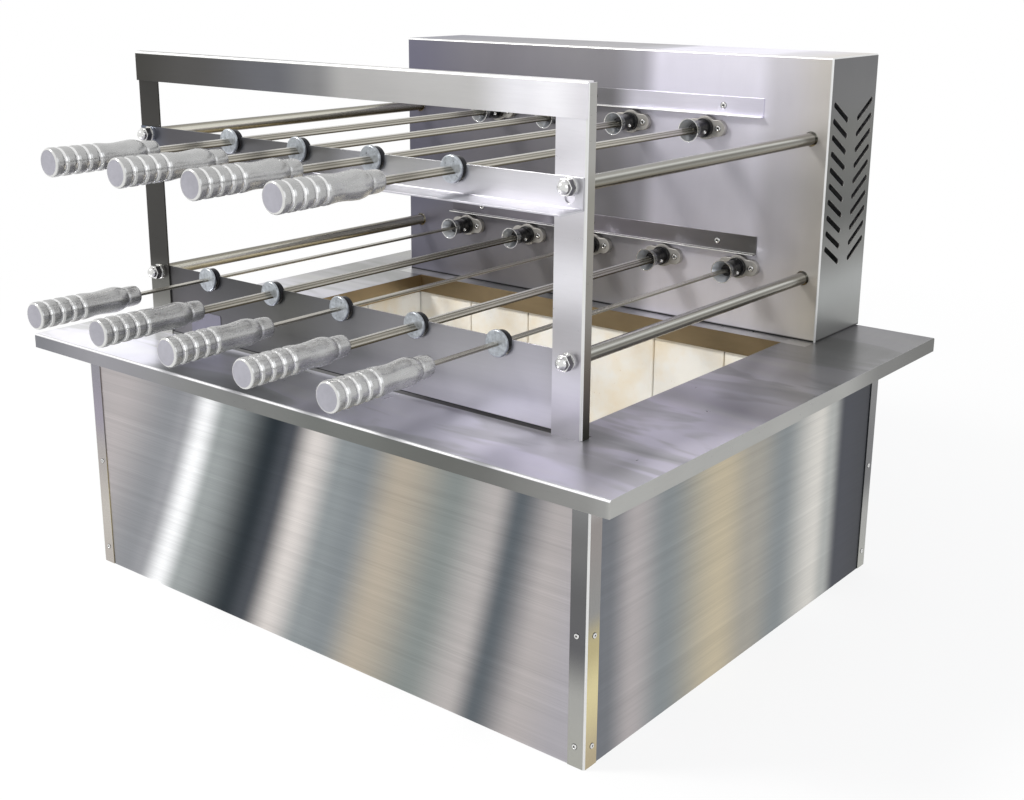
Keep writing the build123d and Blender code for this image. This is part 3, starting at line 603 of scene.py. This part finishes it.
# Painted shade: the nut flats that face aside or down are painted darker than the polished rest.
shaded_flat = steel("nut_flats", seen(120, 118, 120), (90, 90, 90), contrast=0.3, roughness=0.2, cloud=0.6)
washer = [(5.2, -2), (9.4, -2), (9.85, -1.7), (10, -1.2), (10, 0), (5.2, 0), (5.2, -2)]
nut_dome = [(0, -15.4), (1.4, -15.26), (2.9, -14.8), (4.3, -14.02), (5.5, -12.95), (6.4, -11.7), (7.0, -10.4),
            (7.4, -8.0), (7.4, -7.8), (0, -7.8)]
washer_thickness = 0.002
nut_height = 0.008
nut_corner = 0.0085 / math.cos(math.pi / 6)
rods = bmesh.new()
discs = bmesh.new()
nuts = bmesh.new()
for x in (frame_left + rod_inset, frame_right - rod_inset):
    for height, start, face in ((lower_rod, -262.8, post_face), (lower_rod + row_rise, -264.0, bar_face)):
        bar = [(0, start), (7.6, start), (8, start + 0.4), (8, 255.5), (14, 255.5), (14, 258.5), (0, 258.5)]
        nut_face = face - washer_thickness
        for whole, outline, along, steps in ((rods, bar, 0, 48), (discs, washer, face, 40),
                                             (nuts, nut_dome, nut_face, 32)):
            one = bmesh.new()
            turned(one, outline, (x, along, height), steps)
            added(whole, one)
        one = bmesh.new()
        bmesh.ops.create_cone(one, cap_ends=True, segments=6, radius1=nut_corner, radius2=nut_corner,
                              depth=nut_height)
        rounded(one, list(one.edges), 0.0006, 2)
        put = Matrix.Translation((x, nut_face - nut_height / 2, height))
        turn = Matrix.Rotation(math.radians(90), 4, "X") @ Matrix.Rotation(math.radians(30), 4, "Z")
        bmesh.ops.transform(one, matrix=put @ turn, verts=one.verts)
        added(nuts, one)
coated(finished(rods, "rods", ground, "frame", "bright_steel", "tie_rods"), brown_shaded,
       lambda middle, facing: middle.x < 0)
finished(discs, "rod_washers", bright, "frame", "bright_steel", "washers")
coated(finished(nuts, "rod_nuts", bright, "frame", "bright_steel", "dome_nuts", angle=50), shaded_flat,
       lambda middle, facing: abs(facing.y) < 0.2 and facing.z < 0.6)

# Motor box. A folded satin casing with a herringbone of vents in each side, closed by a cover behind.
# The top edge and the upright corners are folded round and carry a painted highlight.
casing_top = 0.700
box_face = {"stretch": (60, 30, 12), "contrast": 0.12, "roughness": 0.36, "metallic": 0.6, "cloud": 0.25,
            "bump": 0.0}
# Painted reflections in bands along the front and up the sides, and painted shade in a thin dark line along the
# foot.
casing_front = banded("satin_casing", "X", (
    (-0.37, 102, 101, 115), (-0.2, 120, 118, 124), (0.02, 140, 138, 142), (0.07, 168, 166, 174),
    (0.105, 230, 227, 240), (0.25, 238, 235, 246), (0.285, 212, 209, 215), (0.358, 202, 197, 190)),
    ("Z", (0.33, 30, 30, 30), (0.3312, 40, 40, 40), (0.333, 255, 255, 250), (0.40, 245, 245, 242),
     (0.46, 222, 222, 222), (0.53, 208, 208, 208), (0.58, 222, 222, 222), (0.64, 248, 248, 250),
     (0.70, 255, 255, 255)), **box_face)
casing_side = banded("satin_casing_side", "Z", (
    (0.33, 20, 20, 20), (0.3312, 60, 60, 60), (0.3325, 136, 137, 134), (0.395, 158, 160, 158),
    (0.45, 118, 118, 115),
    (0.5, 84, 85, 82), (0.6, 98, 98, 94), (0.65, 101, 101, 101), (0.70, 97, 97, 98)), **box_face)
box = softened("motor_box_casing", "casing", casing_front, "frame", "brushed_sheet", 0.0002,
               [(0.0024, {"z": casing_top})], painted_highlight_fold)
coated(box, casing_side, lambda middle, facing: abs(facing.x) > 0.95)
coated(box, painted_highlight_fold, lambda middle, facing: abs(facing.x) > 0.15 and abs(facing.y) > 0.15
       and abs(facing.z) < 0.5)
softened("motor_box_back_cover", "cover", plain_sheet, "frame", "plain_sheet", 0.0002)
# Painted reflections along each drip shield, the lower one darker, and a painted highlight on the bottom fold.
shield_dark = banded("satin_shield_lower", "X", (
    (-0.28, 96, 94, 100), (-0.12, 126, 123, 130), (0.05, 136, 132, 138), (0.15, 138, 135, 138),
    (0.27, 104, 103, 102)),
    **level)
shield_pale = banded("satin_shield_upper", "X", (
    (-0.28, 120, 118, 126), (0.02, 130, 129, 132), (0.07, 218, 216, 228), (0.16, 238, 235, 248),
    (0.27, 230, 227, 242)),
    **level)
for node, name, finish in (("lower_drip_shield", "shield_lower", shield_dark),
                           ("upper_drip_shield", "shield_upper", shield_pale)):
    lip = softened(node, name, finish, "frame", "satin_sheet", 0.0002)
    low = min(corner.co.z for corner in lip.data.vertices)
    coated(lip, painted_highlight_fold, lambda middle, facing: middle.z < low + 0.0025 and facing.y < -0.3)

# Gearmotor and gland. A painted gearbox and motor on a folded bracket, and a moulded gland for the lead.
# They sit inside the box and are seen only from behind.
paint = steel("motor_enamel", (0.07, 0.075, 0.08), (300, 300, 300), 0.2, 0.45, metallic=0.0, bump=0.1)
softened("gearmotor", "motor_unit", paint, "frame", "motor_paint", 0.0015)
softened("motor_bracket", "bracket", plain_sheet, "frame", "plain_sheet", 0.0002)
plastic = steel("moulded_plastic", (0.03, 0.03, 0.032), (400, 400, 400), 0.2, 0.5, metallic=0.0, bump=0.08)
softened("cable_gland", "gland", plastic, "frame", "black_plastic", 0.0004)
gear_metal = steel("greased_gear", (0.30, 0.29, 0.27), (60, 600, 60), 0.35, 0.35, cloud=0.5, bump=0.05)
softened("motor_gear", "pinion", gear_metal, "motor_gear", "gear_steel", 0.0005)
softened("motor_shaft", "pinion_shaft", gear_metal, "motor_gear", "gear_steel", 0.0003)

# Bearing flanges. Small cast blocks with a round middle that holds the bearing of a spindle.
# Each is riveted to the casing through its two ears, behind a socket.
cast_block = steel("cast_block", seen(176, 173, 168), (150, 150, 150), 0.3, 0.4, metallic=0.6, cloud=0.4, bump=0.1)
softened("bearing_flanges", "flanges", cast_block, "frame", "bearing_metal", 0.0008)

# Drive spindles. Each is a blackened turned socket with a bright flared mouth, a collar with a set screw,
# and a shaft that carries its gear inside the box.
blacked = steel("blackened_steel", (0.05, 0.05, 0.052), (60, 600, 60), 0.5, 0.28, cloud=0.3)
flared = steel("flared_mouth", seen(150, 152, 156), (60, 300, 60), 0.3, 0.2, cloud=0.3)
# Painted light: the inside of each mouth is painted paler than its outside.
mouth_inside = steel("mouth_inside", seen(206, 209, 214), (60, 300, 60), 0.5, 0.3, metallic=0.6, cloud=0.6)
pitch = 0.1205
lower_axis = top + 0.088
rows = {"lower": (5, lower_axis, -0.264), "upper": (4, lower_axis + row_rise, bar_face)}
mouth_rim = 0.2036
throat = 0.217
screw_y = 0.228
screw_lean = math.radians(110)
for row, (count, height, seat) in rows.items():
    for number in range(count):
        label = f"{row}_{number + 1}"
        body = f"spindle_{label}"
        axis = Vector(((number - (count - 1) / 2) * pitch, 0.0, height))
        socket = softened(body, f"socket_{label}", blacked, body, "spindle_steel", 0.0003)
        coated(socket, flared, lambda middle, facing: middle.y < throat - 0.0002)
        coated(socket, mouth_inside, lambda middle, facing: middle.y < throat - 0.0002
               and (middle - axis).x * facing.x + (middle - axis).z * facing.z < 0.0)
        coated(socket, bright, lambda middle, facing: middle.y < mouth_rim)
        softened(f"gear_{label}", f"wheel_{label}", gear_metal, body, "gear_steel", 0.0005)
        shape = bmesh.new()
        bmesh.ops.create_cone(shape, cap_ends=True, segments=18, radius1=0.0024, radius2=0.002, depth=0.0018)
        top = max(shape.faces, key=lambda face: face.calc_center_median().z)
        bmesh.ops.inset_individual(shape, faces=[top], thickness=0.0009, depth=-0.001)
        put = Matrix.Translation(axis + Vector((0.0, screw_y, 0.0))) @ Matrix.Rotation(screw_lean, 4, "Y")
        bmesh.ops.transform(shape, matrix=put @ Matrix.Translation((0, 0, 0.0115)), verts=shape.verts)
        finished(shape, f"set_screw_{label}", bright, body, "bright_steel")

# Skewers. A cast aluminium handle with four finger grooves, a cast spool that rides in the notch of the rest,
# and a steel blade pressed into the handle: a thin flat bar or a roof-shaped channel.
cast = steel("cast_aluminium", seen(177, 177, 176), (170, 70, 170), 0.6, 0.27, metallic=0.8, cloud=0.4, bump=0.12,
             wear=0.3, depth=0.0005)
groove_bright = steel("bright_groove", seen(232, 232, 231), (260, 260, 260), 0.5, 0.2, metallic=0.8, cloud=0.2)
faced = steel("machined_butt", seen(168, 167, 175), (160, 160, 160), 0.5, 0.35, metallic=0.75, cloud=0.6)
zinc = steel("cast_spool", seen(164, 169, 174), (240, 240, 240), 2.6, 0.3, metallic=0.7, cloud=0.4)
# Painted shade: the neck and rear ring of each spool, shaded by the disc and the plate, are painted near black.
neck_shade = steel("painted_shade_neck", seen(34, 34, 38), (160, 160, 160), 0.6, 0.35, metallic=0.7)
# Painted highlights and shade in stripes over the height of each blade, darkest and brown beneath.
blade_steel = shaded_over(steel("blade_steel", neutral, (700, 8, 500), 0.4, 0.28, cloud=0.5), lower_axis, (
    (-0.004, 66, 58, 44), (-0.0026, 88, 82, 70), (-0.0018, 190, 186, 176), (0.0, 128, 124, 114),
    (0.0012, 176, 172, 162),
    (0.0022, 120, 116, 106), (0.0032, 206, 204, 198), (0.004, 216, 214, 210)))

handle_reach = 0.258
grooves = (13, 28, 43, 58)
butt_radius = 16.3
grip_taper = 0.8 / 66
grip = [(0, 0), (13.9, 0), (14.9, 0.4), (15.8, 1.4), (butt_radius, 3.0)]
for groove in grooves:
    land = butt_radius - grip_taper * groove
    grip += [(land, groove - 4.2), (land - 0.3, groove - 3.1), (land - 1.15, groove - 1.7), (land - 1.5, groove),
             (land - 1.15, groove + 1.7), (land - 0.3, groove + 3.1), (land, groove + 4.2)]
grip += [(15.5, 66), (14.9, 71), (14.3, 76.5), (14.0, 82), (14.15, 88), (14.6, 95), (15.2, 102), (15.5, 107),
         (15.4, 110), (14.8, 114), (13.9, 117.5), (13.0, 120), (12.3, 121.6), (11.7, 122.6), (11.6, 123.5),
         (12.1, 124.6), (12.4, 126.5), (12.3, 133), (12.0, 138), (11.4, 140.8), (10.4, 142), (0, 142)]
spool = [(0, -7.5), (13.8, -7.5), (14.9, -7.0), (15.5, -6.0), (15.5, -4.4), (15.1, -3.5), (14.2, -3.0),
         (10.6, -3.0), (10.0, -2.6), (10.0, -1.3), (10.5, -1.0), (12.7, -1.0), (13.5, -0.3), (13.5, 5.6),
         (13.0, 6.3), (12.2, 6.5), (0, 6.5)]
flat_bar = [(-4, -1.5), (4, -1.5), (4, 1.5), (-4, 1.5)]
channel = [(-8, -4), (-6.5, -4), (0, 2.5), (6.5, -4), (8, -4), (0, 4)]
channels = {"lower": (1, 3), "upper": (0, 1, 2, 3)}
blade_start = -0.182
blade_end = throat - 0.006
for row, (count, height, seat) in rows.items():
    for number in range(count):
        label = f"{row}_{number + 1}"
        body = f"skewer_{label}"
        axis = Vector(((number - (count - 1) / 2) * pitch, 0.0, height))
        front = seat - handle_reach
        shape = bmesh.new()
        turned(shape, grip, axis + Vector((0, front, 0)))
        other = bmesh.new()
        turned(other, spool, axis + Vector((0, seat, 0)))
        added(shape, other)
        casting = finished(shape, f"handle_{label}", cast, body, "cast_aluminium", body, angle=50)
        for groove in grooves:
            coated(casting, groove_bright, lambda middle, facing: abs(middle.y - front - groove / 1000) < 0.0021)
        coated(casting, zinc, lambda middle, facing: middle.y > seat - 0.02)
        coated(casting, neck_shade, lambda middle, facing: middle.y > seat - 0.0032)
        coated(casting, faced, lambda middle, facing: middle.y < front + 0.0001)
        coated(casting, bright, lambda middle, facing: front + 0.0001 < middle.y < front + 0.0014)
        shape = bmesh.new()
        outline = channel if number in channels[row] else flat_bar
        start = seat + blade_start
        face = shape.faces.new([shape.verts.new((x / 1000, start, z / 1000)) for x, z in outline])
        run = bmesh.ops.extrude_face_region(shape, geom=[face])
        moved = [item for item in run["geom"] if isinstance(item, bmesh.types.BMVert)]
        bmesh.ops.translate(shape, verts=moved, vec=(0, blade_end - start, 0))
        bmesh.ops.create_cube(shape, size=1.0, matrix=Matrix.Translation((0, throat + 0.007, 0))
                              @ Matrix.Diagonal((0.008, 0.028, 0.003, 1)))
        bmesh.ops.recalc_face_normals(shape, faces=shape.faces)
        sharp = [line for line in shape.edges if line.calc_face_angle(0.0) > math.radians(40)]
        rounded(shape, sharp, sheared, 2)
        bmesh.ops.translate(shape, verts=shape.verts, vec=axis)
        finished(shape, f"blade_{label}", blade_steel, body, "bright_steel", body)

# Pop rivets. Low bright domes with painted shade in the broken stem's pit in the middle and a thin ring of
# painted shade round the foot of each head, set from outside through the trims, the bearing flanges and the
# drip shields. Those of the flanges and shields are larger.
rivet_shade = steel("rivet_painted_shade", (0.05, 0.05, 0.05), (200, 200, 200), 0.2, 0.5)
dome = [(0, 0.35), (0.9, 0.35), (1.1, 0.9), (1.5, 1.25), (2.1, 1.3), (2.8, 0.9), (3.2, 0.0), (0, 0.0)]
heads = bmesh.new()
shade_marks = bmesh.new()
rivet_inset = 0.013
rivet_heights = (0.024, 0.151)
flange_face = 0.246
flange_rivet = 0.020
shield_face = 0.2528
shield_middle = -0.006
shield_rivet = 0.210
shield_rise = 0.0305
larger = 1.35
spots = []
for side in (-1, 1):
    for level_at in rivet_heights:
        for near in (-1, 1):
            spots.append(((side * (trim_x - rivet_inset), near * trim_y, level_at), (0, near, 0), 1.0))
            spots.append(((side * trim_x, near * (trim_y - rivet_inset), level_at), (side, 0, 0), 1.0))
for row, (count, height, seat) in rows.items():
    for number in range(count):
        x = (number - (count - 1) / 2) * pitch
        spots += [((x + side * flange_rivet, flange_face, height), (0, -1, 0), larger) for side in (-1, 1)]
    spots += [((shield_middle + side * shield_rivet, shield_face, height + shield_rise), (0, -1, 0), larger)
              for side in (-1, 0, 1)]
for spot, outward, large in spots:
    put = Matrix.Translation(spot) @ Vector((0, -1, 0)).rotation_difference(Vector(outward)).to_matrix().to_4x4()
    one = bmesh.new()
    turned(one, [(radius * large, -rise) for radius, rise in dome], (0, 0, 0), 14)
    bmesh.ops.transform(one, matrix=put, verts=one.verts)
    added(heads, one)
    one = bmesh.new()
    turned(one, [(0, -1.0), (1.25 * large, -1.0), (1.25 * large, -0.2), (0, -0.2)], (0, 0, 0), 14)
    turned(one, [(2.9 * large, -0.4), (3.4 * large, -0.3), (3.4 * large, 0.1), (2.9 * large, 0.1),
                 (2.9 * large, -0.4)], (0, 0, 0), 14)
    bmesh.ops.transform(one, matrix=put, verts=one.verts)
    added(shade_marks, one)
finished(heads, "rivets", bright, "frame", "bright_steel", "pop_rivets")
finished(shade_marks, "rivet_shade_marks", rivet_shade, "frame", "bright_steel", "pop_rivets")

# Rating plate. A small bare plate of thin steel with round corners, fixed low on the lower front plate,
# between the second and third handles.
plate_middle = (-0.2545, -0.2643, 0.3555)
plate_size = (0.059, 0.0006, 0.031)
shape = bmesh.new()
bmesh.ops.create_cube(shape, size=1.0, matrix=Matrix.Translation(plate_middle)
                      @ Matrix.Diagonal((*plate_size, 1)))
upright_edges = [line for line in shape.edges if abs(line.verts[0].co.y - line.verts[1].co.y) > 0.0004]
rounded(shape, upright_edges, 0.002, 3)
blank = steel("plate_blank", seen(120, 119, 130), (200, 200, 200), 0.12, 0.35)
finished(shape, "blank_plate", blank, "frame", "satin_sheet")
